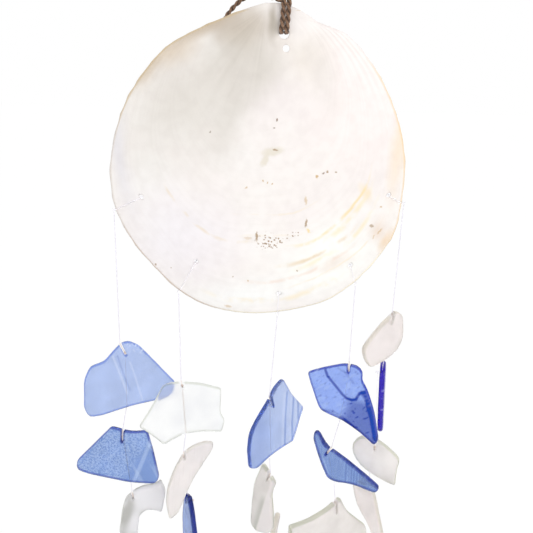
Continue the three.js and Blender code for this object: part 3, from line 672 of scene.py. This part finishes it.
# Specks and marks, as the clouds are given
shell_specks = [
    (8.7, 25.6, 0.6, 1.1, 0, BROWN, 0.9), (7.5, 22.1, 0.5, 0.5, 0, BROWN, 0.8),
    (-21.3, 19.7, 0.5, 0.5, 0, BROWN, 0.6), (7, 11.6, 7, 2.6, 10, BEIGE, 0.8),
    (3.6, 7.6, 2.2, 4.2, -25, BEIGE, 0.8), (8.2, 12.3, 1.7, 0.7, -12, TAN, 0.9),
    (2.9, -2, 0.7, 0.7, 0, OCHRE, 0.8), (5, -2.6, 0.5, 0.6, 0, OCHRE, 0.8),
    (7.1, -3.3, 0.6, 0.6, 0, OCHRE, 0.8), (-4.9, -5.4, 1, 0.6, 30, OCHRE, 0.6),
    (28, 0.2, 1.2, 0.9, 30, OCHRE, 0.9), (30.6, 1.7, 0.9, 0.7, 0, BROWN, 0.8),
    (32.6, 2.3, 0.9, 0.7, 0, TAN, 0.9), (36.4, 2.2, 0.8, 0.6, 0, TAN, 0.8), (23.2, -11.4, 0.9, 3, 8, OCHRE, 0.55),
    (23.7, -22.6, 0.8, 2.9, 0, TAN, 0.95), (25, -26.5, 0.8, 1.8, 40, YELLOW, 0.9),
    (0.3, -29.6, 0.9, 3.2, 0, TAN, 0.95), (59.9, -15.6, 0.9, 0.6, 0, OCHRE, 0.8),
    (20.5, -48, 0.6, 0.6, 0, TAN, 0.7), (-50.3, -48.3, 0.8, 0.8, 0, TAN, 0.8),
    (-42.5, -49.1, 0.5, 0.6, 0, TAN, 0.7), (-11.3, -51.9, 0.6, 0.5, 0, TAN, 0.7),
    (-3.8, -54, 0.7, 0.7, 0, OCHRE, 0.8), (-14, -69.6, 2.6, 1.1, -15, OCHRE, 0.5),
    (56, -25, 1.6, 1.1, -20, TAN, 0.75), (60.5, -28, 0.7, 2.6, -35, OCHRE, 0.6),
    (57.5, -31, 0.6, 2, -30, OCHRE, 0.5), (-4, -30.5, 3, 1, 0, OCHRE, 0.4),
]
# Where the brown grains lie, as the clouds are given, white on black
grain_patches = [(7, -32, 10, 6, -3, (1, 1, 1), 1), (18, -28.6, 6, 2.2, 25, (1, 1, 1), 1)]
# Stains on the rim; the pale yellow one along the bottom is a real tint lightened as painted light against the
# shade of the rim. Each: first and last bearing about the hinge, colour and strength
rim_stains_and_painted_light = [
    (143, 178, (0.62, 0.49, 0.31), 0.8), (124, 143, (0.72, 0.64, 0.56), 0.5), (98, 124, (0.6, 0.43, 0.28), 0.6),
    (60, 98, (1, 0.92, 0.72), 0.85), (25, 60, (0.9, 0.66, 0.36), 0.6),
]


def pearl_material():
    """Pale nacre with clouds, some of them painted shade and painted light, growth lines, faint rays, specks and a
    stained rim that is partly painted light. Its back is plainer.
    """
    material = bpy.data.materials.new("mother of pearl")
    tree = node_tree_of(material)
    place = object_place(tree)
    growth, bearing, share, front = (attribute(tree, name) for name in ("growth", "bearing", "share", "front"))
    cloud = noise_at(tree, place, scale=26, detail=5)
    colour = ramp(tree, cloud, [
        (0.32, (0.92, 0.86, 0.84)), (0.5, (0.96, 0.91, 0.88)), (0.68, (0.97, 0.94, 0.91)),
    ])
    loose = swirled(tree, place, amount=22 * MM, scale=30)
    # The clouds, with painted shade and painted light among them
    for spot in clouds_and_painted_light:
        colour = stain_or_light_spot(tree, colour, loose, spot, core=0)
    for spot in shoulder_shades:
        colour = stain_or_light_spot(tree, colour, place, spot, core=0)

    # Faint rays, near the hinge
    fan = add_node(tree, "ShaderNodeCombineXYZ", {
        "X": product(tree, bearing, RAY_DENSITY), "Y": product(tree, growth, RAY_CHANGE),
    })
    rays = ramp(tree, noise_at(tree, fan.outputs[0], scale=1, detail=5), [
        (0.3, (0.82, 0.81, 0.79)), (0.5, (0.96, 0.96, 0.96)), (0.6, (1, 1, 1)),
    ])
    ray_zone = window(tree, bearing, 88, 165, soft=12)
    near_hinge = window(tree, growth, -0.2, 0.35, soft=0.3)
    colour = mixed(tree, product(tree, ray_zone, near_hinge, RAY_DEPTH), colour, rays, "MULTIPLY")

    # Growth lines, which begin some way out, and fine mottling
    wavy = calculated(tree, "MULTIPLY_ADD", cloud, LINE_BEND, growth)
    row = add_node(tree, "ShaderNodeCombineXYZ", {"X": wavy})
    lines = noise_at(tree, row.outputs[0], scale=40, detail=6, roughness=0.7)
    grown = window(tree, growth, 0.35, FAR, soft=0.2)
    line_tone = ramp(tree, lines, [(0.35, (0.86, 0.85, 0.83)), (0.55, (1, 1, 1))])
    colour = mixed(tree, product(tree, grown, LINE_DEPTH), colour, line_tone, "MULTIPLY")
    spots = noise_at(tree, place, scale=210, detail=4)
    mottling = ramp(tree, spots, [(0.36, (0.9, 0.89, 0.885)), (0.6, (1, 1, 1))])
    colour = mixed(tree, MOTTLING_DEPTH, colour, mottling, "MULTIPLY")
    plain_back = colour

    # Stained growth lines, crumbled by noise. The noise that bends them is 0.5 on average.
    broken = window(tree, noise_at(tree, place, scale=120, detail=3), 0.49, FAR, soft=0.13)
    shifted = calculated(tree, "MULTIPLY_ADD", cloud, STREAK_BEND, growth)
    for out_at, width, first, last, streak_colour, strength in growth_streaks:
        middle = out_at + STREAK_BEND / 2
        band = window(tree, shifted, middle - width / 2, middle + width / 2, soft=width / 2)
        there = product(tree, band, window(tree, bearing, first, last, soft=5), broken, strength)
        colour = mixed(tree, there, colour, (*streak_colour, 1))

    # Specks, and the grains under the shell's middle
    ragged = swirled(tree, place, amount=1.6 * MM, scale=700)
    for spot in shell_specks:
        colour = stain_or_light_spot(tree, colour, ragged, spot)
    crumbly = swirled(tree, place, amount=1 * MM, scale=600)
    grains = add_node(tree, "ShaderNodeTexVoronoi", {"Vector": crumbly, "Scale": 760}).outputs
    grain_dot = window(tree, grains["Distance"], -1, 0.34, soft=0.12)
    split = add_node(tree, "ShaderNodeSeparateColor", {0: grains["Color"]})
    chosen = window(tree, split.outputs[0], 0.12, FAR, soft=0.02)
    dotted = (0, 0, 0, 1)
    for spot in grain_patches:
        dotted = stain_or_light_spot(tree, dotted, place, spot)
    grainy = product(tree, grain_dot, chosen, dotted, 0.95)
    colour = mixed(tree, grainy, colour, (0.34, 0.21, 0.11, 1))
    colour = mixed(tree, front, plain_back, colour)

    edge = window(tree, share, 0.988, FAR, soft=0.006)
    for first, last, rim_colour, strength in rim_stains_and_painted_light:
        there = product(tree, edge, window(tree, bearing, first, last, soft=4), strength)
        colour = mixed(tree, there, colour, (*rim_colour, 1))
    finish_material(tree, {
        "Base Color": colour, "Roughness": 0.36, "Coat Weight": 0.2, "Coat Roughness": 0.2,
        "Normal": bumped(tree, product(tree, lines, grown), distance=0.25 * MM, strength=0.3),
    })
    return material


drilled.materials.clear()
drilled.materials.append(pearl_material())
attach(pearl_shell, "shell")
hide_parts("shell")


# ## Nylon line
# Clear monofilament: the ties in the rim holes, the straight stretches between the pieces, and the bit that is
# knotted in each saw kerf and runs down the back of its glass, where it has yellowed with handling. Behind the
# blue and violet glass the run is painted paler and clearer, as painted light.

def nylon_material(name, pale, dark, clearness):
    """Nylon that is patchily pale and dark along the line. Its low IOR keeps it from showing black edges."""
    material = bpy.data.materials.new(name)
    tree = node_tree_of(material)
    drawn = ramp(tree, noise_at(tree, object_place(tree), scale=300), [(0.3, dark), (0.7, pale)])
    finish_material(tree, {
        "Base Color": drawn, "Roughness": 0.3, "IOR": 1.06, "Transmission Weight": clearness,
    })
    return material


hung_nylon = nylon_material("clear nylon line", (0.95, 0.93, 0.98), (0.88, 0.86, 0.93), 0.6)
tied_nylon = nylon_material("handled nylon line", (0.9, 0.81, 0.76), (0.72, 0.62, 0.56), 0.85)
clean_nylon = nylon_material("clean nylon line", (0.98, 0.97, 1), (0.93, 0.92, 0.95), 0.85)
blue_run_painted_light = nylon_material("nylon line painted light behind blue glass", (1, 0.96, 0.93), (0.95, 0.9, 0.88), 0.91)
violet_run_painted_light = nylon_material("nylon line painted light behind violet glass", (1, 0.98, 0.97), (0.96, 0.93, 0.92), 0.97)
# The runs behind blue and violet glass, which have their own paler and clearer material as painted light, and how
# far below the top of the tie each starts, in mm
runs = {
    "kerf_tie_a1": (blue_run_painted_light, 8), "kerf_tie_c1": (blue_run_painted_light, 8), "kerf_tie_d1": (blue_run_painted_light, 8),
    "kerf_tie_d2": (blue_run_painted_light, 8), "kerf_tie_e2": (violet_run_painted_light, 5),
}
for name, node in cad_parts.items():
    if name.startswith(("line_", "kerf_tie_", "rim_tie_")):
        nylon = hung_nylon if name.startswith("line_") else tied_nylon
        if name.startswith("rim_tie_") or name == "kerf_tie_e2":
            nylon = clean_nylon
        node.data.materials.clear()
        node.data.materials.append(nylon)
        # Below the knot the run takes the painted light material
        painted_light_run, knot_reach = runs.get(name, (None, 0))
        if painted_light_run:
            node.data.materials.append(painted_light_run)
        knot_foot = max(vert.co.z for vert in node.data.vertices) - knot_reach * MM
        for polygon in node.data.polygons:
            polygon.material_index = 1 if painted_light_run and polygon.center.z < knot_foot else 0


# ## Tumbled glass
# Broken sheet and bottle glass, tumbled until its faces are satin and its edges round, with a saw kerf in the top
# edge of each piece for the line. Cobalt, violet, clear and frosted white.

# Lengths in mm: the grain of the fine mesh, and the waves and pits of its faces
GRAIN = 0.42
ROUNDING_STEPS = 5
WAVE_HEIGHT, WAVE_LENGTH = 0.12, 6
PIT_HEIGHT, PIT_LENGTH = 0.025, 1.1
# How far the waves are let into the glass, as a share of their height
WAVE_SINK = 0.4
# How much the noise of one piece is shifted against that of the piece before
SEED_STEP = 3.1
# What lies squarely to the face is face, and what lies squarely across it is edge, by the cosine of their angle
EDGE_COSINE, FACE_COSINE = 0.62, 0.9
FRONT_COSINE = 0.3
# The kerf: its depth, where the painted light on its walls ends beside its middle, and how far its walls lose the
# edge's colour if pale, taking the pale colour instead as painted light against the shade in the slot
KERF_REACH = 4
KERF_LIGHT_INSIDE, KERF_LIGHT_OUTSIDE = 0.9, 1.8
KERF_PAINTED_LIGHT = 0.8
# The skin's noise, in waves to the metre, on the pebbled piece and on the others
PEBBLE_SCALE, SATIN_SCALE = 900, 1500
# How much dimmer and lighter a face gets in its soft clouds
DIM, LIGHT = 0.93, 1.05


def held(value):
    """The value, kept between 0 and 1."""
    return min(1, max(0, value))


def smooth_step(low, high, value):
    """0 at low and 1 at high, smooth between them. It falls where low is the greater."""
    share = held((value - low) / (high - low))
    return share * share * (3 - 2 * share)


def stroke(at, path, width):
    """1 on a line of points, falling to 0 at its half width. Places are (across, up) in mm."""
    best = 1e9
    for a, b in zip(path, path[1:]):
        ax, ay = at[0] - a[0], at[1] - a[1]
        bx, by = b[0] - a[0], b[1] - a[1]
        share = held((ax * bx + ay * by) / (bx * bx + by * by))
        best = min(best, math.hypot(ax - bx * share, ay - by * share))
    return 1 - smooth_step(0.3 * width, width, best)


def grain_noise(at, stretch_x, stretch_z, seed=0):
    """Noise at a place, stretched by so many mm across and up."""
    return noise.noise(Vector((at[0] / stretch_x, at[1] / stretch_z, seed)))


# Each pattern gives how dark and how pale the glass is at a place (across, up) on its face, in mm from its middle.
def streaked(at):
    """Long straight streaks, and a chipped top edge."""
    pale = 0.7 * stroke(at, [(-7.6, 14), (-4.5, 2), (-1.8, -9.5)], 0.9)
    pale += 0.6 * stroke(at, [(1.1, 9), (3.2, 0), (6.1, -15)], 0.8)
    pale += smooth_step(0.25, 0.45, grain_noise(at, 1.1, 1.1)) * stroke(at, [(-1, 18), (5, 17.5), (8, 13)], 4)
    dark = 0.5 * stroke(at, [(-5.2, 14), (-2.8, 2), (0, -8)], 0.7) + 0.8 * stroke(at, [(8.5, 15), (10, 12.5)], 0.9)
    dark += 0.9 * stroke(at, [(16, 4.6), (17, 3.6)], 0.8) + 0.15 * grain_noise(at, 6, 20)
    return dark, pale


def is_smooth(at):
    """1 on the smooth lower right of the pebbled piece, 0 where it is pebbled."""
    return smooth_step(-2, 2, (at[0] - 8) * 0.85 - (at[1] + 2) * 0.5 - 3)


def pebbled(at):
    """The smooth corner of the pebbled piece, with one long reflection."""
    pale = 0.6 * stroke(at, [(10, -17), (15, -4), (21.6, 13.4)], 1.6)
    pale += 0.4 * smooth_step(0.1, 0.5, grain_noise((at[0] + 0.5 * at[1], at[1]), 2.2, 30))
    dark = 0.5 * is_smooth(at) + stroke(at, [(-7.8, 17), (-7.5, 12), (-8, 9)], 0.8)
    return dark, pale * is_smooth(at)


def rippled(at):
    """Ripples of rolled glass, each a dark band with a pale one beside it, and painted shade that deepens towards
    the thick left edge.
    """
    lines = (
        [(8.5, 13.9), (6.5, -0.6), (5.1, -20)], [(14, 7.9), (12.1, -6.9), (11.8, -19.5)],
        [(17.8, 3.9), (17.6, -7.7)],
    )
    bands = sum(stroke(at, line, 1.3) for line in lines)
    beside = (at[0] + 1.9, at[1])
    pale = sum(0.8 * stroke(beside, line, 1.4) for line in lines) + 0.3 * smooth_step(0, 8, at[0])
    # Painted shade near the thick left edge
    dark = 0.5 * bands + 0.3 * smooth_step(-5, -15, at[0])
    return dark, (1 - min(1, bands)) * (pale + 0.45 * smooth_step(-9, -2, at[0]))


def marbled(at):
    """A dark swirl in paler glass, a deep blue corner and small flecks."""
    swirl = [
        (-11.6, 18.8), (-9.7, 14.2), (-6.6, 11.1), (-0.6, 4.8), (2, 3), (4.6, 2.6), (7, 3.5), (8.7, 7.8),
        (11.8, 9.2),
    ]
    dark = 0.9 * stroke(at, swirl, 1.25)
    dark += 0.4 * stroke(at, [(-12.4, -8.1), (-5.5, -7), (0.3, -9.4), (7.5, -14.2)], 1.3)
    dark += 0.3 * stroke(at, [(-4, 20), (0.2, 18.4), (4.9, 13.2)], 1.1)
    deep = smooth_step(-3, 5, at[0] - 0.25 * at[1] - 1.5) * smooth_step(6, 0, at[1])
    dark += 0.75 * deep + 0.9 * stroke(at, [(11, 8), (13.6, 5), (17.6, -6), (20.6, -18)], 2.9)
    slanting = (at[0] + at[1], at[0] - at[1])
    dark += 0.4 * smooth_step(0.3, 0.5, grain_noise(slanting, 3.4, 1.5, 3))
    pale = 0.4 * smooth_step(0.1, 0.5, grain_noise(slanting, 9, 3, 9))
    return dark, pale * (1 - deep) * (1 - stroke(at, swirl, 3))


def striped(at):
    """Fine upright stripes on the right of the face."""
    dark = 0.25 + sum(0.45 * stroke(at, [(x, 8), (x + 1, -10)], 0.6) for x in (1.5, 3.6, 5.2, 6.8, 8.6, 10.4))
    pale = 0.5 * stroke(at, [(-12.8, -1.2), (-6.6, -15.6)], 0.9)
    return dark, pale + 0.25 * smooth_step(0, 0.5, grain_noise(at, 1.2, 14))


def banded(at):
    """Two pale bands across a narrow piece."""
    pale = sum(1.6 * stroke(at, [(-16, up), (16, up)], 0.9) for up in (9.4, -2.2))
    return 0.3 * smooth_step(-2, -14, at[1]), pale + 0.5 * smooth_step(0.2, 0.5, grain_noise(at, 3, 2))


def clouded(at):
    """Soft dark and pale clouds."""
    dark = 0.5 * smooth_step(0.05, 0.5, grain_noise(at, 7, 16, 2))
    return dark, 0.4 * smooth_step(0.05, 0.5, grain_noise(at, 5, 12, 8))


def shadowed(at):
    """A painted shadow in the hollow of a bent piece, and painted light that is strongest outside it."""
    dark = smooth_step(6, -2, at[0] + 0.5 * at[1] - 2) * smooth_step(-0.6, 0.3, grain_noise(at, 8, 16))
    return dark, 0.2 + 0.75 * (1 - dark)


def faceted(at):
    """A fold down the piece, with painted shade on its left and painted light on its right."""
    fold = at[0] - 0.21 * at[1] - 1.6
    shade = 0.65 * smooth_step(1, -0.6, fold) * smooth_step(-4.5, -0.8, fold) * smooth_step(8, -2, at[1])
    return shade + 0.15 * smooth_step(1, 0, fold), 0.8 * smooth_step(0, 2, fold)


def lined(at):
    """Thin dark lines along the piece."""
    thin = smooth_step(0.25, 0.5, grain_noise((at[0] - 0.15 * at[1], at[1]), 0.9, 18))
    return 0.4 * thin + 0.15 * smooth_step(0, 0.6, grain_noise(at, 6, 10)), 0.4


def plain(at):
    """Faint clouds only."""
    return 0.12 * smooth_step(0, 0.6, grain_noise(at, 8, 8)), 0


def glass_material(name, face, dark, pale, edge, absorbed, roughness, dust, ior=1.3, pebbles=0):
    """Satin glass: the colours of its face, of its darker and paler marks and of its edge, what each metre of it
    takes from red, green and blue, its roughness, and how much of its skin is ground to white dust."""
    material = bpy.data.materials.new(name)
    tree = node_tree_of(material)
    place = object_place(tree)
    dim_face = tuple(channel * DIM for channel in face)
    light_face = tuple(min(1, channel * LIGHT) for channel in face)
    cloud = noise_at(tree, place, scale=90, detail=4)
    colour = ramp(tree, cloud, [(0.35, dim_face), (0.65, light_face)])
    colour = mixed(tree, attribute(tree, "dark"), colour, (*dark, 1))
    skin = noise_at(tree, place, scale=PEBBLE_SCALE if pebbles else SATIN_SCALE, detail=3)
    if pebbles:
        pebbled_part = attribute(tree, "pebble")
        for low, high, shade in ((0.54, FAR, pale), (-1, 0.44, dark)):
            there = product(tree, window(tree, skin, low, high, soft=0.03), pebbled_part, pebbles)
            colour = mixed(tree, there, colour, (*shade, 1))
    colour = mixed(tree, attribute(tree, "edge"), colour, (*edge, 1))
    colour = mixed(tree, attribute(tree, "pale"), colour, (*pale, 1))
    density = max(absorbed)
    body = add_node(tree, "ShaderNodeVolumeAbsorption", {
        "Color": (*(1 - share / density for share in absorbed), 1), "Density": density,
    })
    finish_material(tree, {
        "Base Color": colour, "Roughness": roughness, "IOR": ior, "Transmission Weight": 1 - dust,
        "Normal": bumped(tree, skin, distance=0.05 * MM, strength=0.4),
    }, body.outputs[0])
    return material


pale_cobalt = glass_material(
    "pale cobalt glass", (0.55, 0.65, 0.89), (0.16, 0.26, 0.62), (0.82, 0.88, 1), (0.17, 0.27, 0.72),
    (45, 34, 8), roughness=0.2, dust=0.15,
)
cobalt = glass_material(
    "cobalt glass", (0.36, 0.5, 0.8), (0.07, 0.15, 0.45), (0.6, 0.72, 0.92), (0.045, 0.07, 0.38),
    (55, 42, 12), roughness=0.22, dust=0.15,
)
pebbled_cobalt = glass_material(
    "pebbled cobalt glass", (0.36, 0.5, 0.8), (0.14, 0.26, 0.6), (0.72, 0.82, 0.97), (0.06, 0.09, 0.42),
    (50, 38, 12), roughness=0.22, dust=0.15, pebbles=0.6,
)
swirled_cobalt = glass_material(
    "swirled cobalt glass", (0.4, 0.54, 1), (0, 0.012, 0.27), (0.65, 0.8, 1), (0.035, 0.055, 0.4),
    (40, 30, 6), roughness=0.2, dust=0.2,
)
violet = glass_material(
    "violet glass", (0.08, 0.045, 0.62), (0.03, 0.015, 0.4), (0.4, 0.38, 0.95), (0.065, 0.035, 0.6),
    (30, 34, 8), roughness=0.25, dust=0.35,
)
clear = glass_material(
    "clear glass", (0.98, 0.98, 1), (0.93, 0.93, 0.96), (1, 1, 1), (0.66, 0.68, 0.6),
    (3, 1, 2), roughness=0.35, dust=0.05, ior=1.2,
)
pink_frosted = glass_material(
    "pinkish frosted glass", (0.95, 0.9, 0.89), (0.72, 0.65, 0.63), (1, 0.99, 0.98), (0.88, 0.84, 0.76),
    (3, 4, 5), roughness=0.5, dust=0.5,
)
green_frosted = glass_material(
    "greenish frosted glass", (0.96, 0.92, 0.9), (0.56, 0.57, 0.52), (1, 0.96, 0.97), (0.74, 0.75, 0.63),
    (3, 4, 5), roughness=0.5, dust=0.5,
)
grey_frosted = glass_material(
    "grey frosted glass", (0.86, 0.85, 0.86), (0.4, 0.4, 0.36), (0.98, 0.97, 1), (0.62, 0.62, 0.56),
    (5, 5, 6), roughness=0.45, dust=0.45,
)

# Each piece: its glass, the name of its kind of glass, the angle that its face is turned about the line, and its
# marks
shards = {
    "a1": (pale_cobalt, "cobalt", 20, streaked), "a2": (pebbled_cobalt, "cobalt", -8, pebbled),
    "a3": (grey_frosted, "frosted", 10, shadowed), "b1": (clear, "clear", 14, plain),
    "b2": (pink_frosted, "frosted", 25, lined), "b3": (cobalt, "violet", -60, plain),
    "c1": (pale_cobalt, "cobalt", 48, rippled), "c2": (green_frosted, "frosted", -40, faceted),
    "c3": (pink_frosted, "frosted", 62, clouded), "d1": (swirled_cobalt, "cobalt", -20, marbled),
    "d2": (cobalt, "cobalt", -38, striped), "d3": (green_frosted, "frosted", 35, plain),
    "e1": (pink_frosted, "frosted", 30, plain), "e2": (violet, "violet", 77, banded),
    "e3": (green_frosted, "frosted", -15, plain), "e4": (pink_frosted, "frosted", -35, clouded),
}


def tumbled(name, turn, marks, seed, kerf_light):
    """A finely rounded copy of a shard's solid, with the gentle waves of tumbled glass and its marks."""
    shape = bmesh.new()
    shape.from_mesh(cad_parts[f"shard_{name}"].data)
    bmesh.ops.remove_doubles(shape, verts=shape.verts, dist=1e-6)
    piece = object_of(f"glass_{name}", shape)
    remesh = piece.modifiers.new("fine", "REMESH")
    remesh.mode = "VOXEL"
    remesh.voxel_size = GRAIN * MM
    rounding = piece.modifiers.new("round", "SMOOTH")
    rounding.factor = 0.5
    rounding.iterations = ROUNDING_STEPS
    fine = made_plain(piece)

    # The middle, the two directions that its face is seen by, and where the kerf is across it
    corners = [vert.co / MM for vert in fine.vertices]
    low = Vector(min(corner[i] for corner in corners) for i in range(3))
    high = Vector(max(corner[i] for corner in corners) for i in range(3))
    middle = (low + high) / 2
    across = Vector((math.cos(math.radians(turn)), math.sin(math.radians(turn)), 0))
    through = Vector((-across.y, across.x, 0))
    tie = [vert.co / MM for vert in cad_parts[f"kerf_tie_{name}"].data.vertices]
    tie_top = max(at.z for at in tie)
    in_kerf = [(at - middle).dot(across) for at in tie if at.z > tie_top - KERF_REACH]
    kerf = sum(in_kerf) / len(in_kerf)

    # Waves and pits, the marks on the face and the edge, and painted light on the kerf's walls
    moved = []
    kept = {"dark": [], "pale": [], "pebble": [], "edge": []}
    for vert, at in zip(fine.vertices, corners):
        normal = vert.normal.copy()
        push = WAVE_HEIGHT * (noise.noise(at / WAVE_LENGTH + Vector((seed, 0, 0))) - WAVE_SINK)
        push += PIT_HEIGHT * noise.noise(at / PIT_LENGTH + Vector((0, seed, 0)))
        moved.extend((at + normal * push) * MM)
        place = ((at - middle).dot(across), at.z - middle.z)
        cosine = normal.dot(through)
        in_front = smooth_step(FRONT_COSINE, -FRONT_COSINE, cosine)
        on_edge = 1 - smooth_step(EDGE_COSINE, FACE_COSINE, abs(cosine))
        # Painted light: near the kerf the walls lose the edge's colour and take the pale one
        kerf_lit = kerf_light * (1 - smooth_step(KERF_LIGHT_INSIDE, KERF_LIGHT_OUTSIDE, abs(place[0] - kerf)))
        dark, pale = marks(place)
        kept["dark"].append(in_front * held(dark))
        kept["pale"].append(max(kerf_lit * on_edge, in_front * held(pale)))
        kept["pebble"].append(in_front * (1 - is_smooth(place)))
        kept["edge"].append((1 - kerf_lit) * on_edge)
    fine.vertices.foreach_set("co", moved)
    for label, values in kept.items():
        fine.attributes.new(label, "FLOAT", "POINT").data.foreach_set("value", values)
    fine.shade_smooth()
    fine.update()
    return piece


for count, (name, (material, slot, turn, marks)) in enumerate(shards.items()):
    shard = tumbled(name, turn, marks, SEED_STEP * count, KERF_PAINTED_LIGHT if slot in ("frosted", "clear") else 0)
    shard.data.materials.clear()
    shard.data.materials.append(material)
    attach(shard, f"glass_{name}")
    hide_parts(f"shard_{name}")
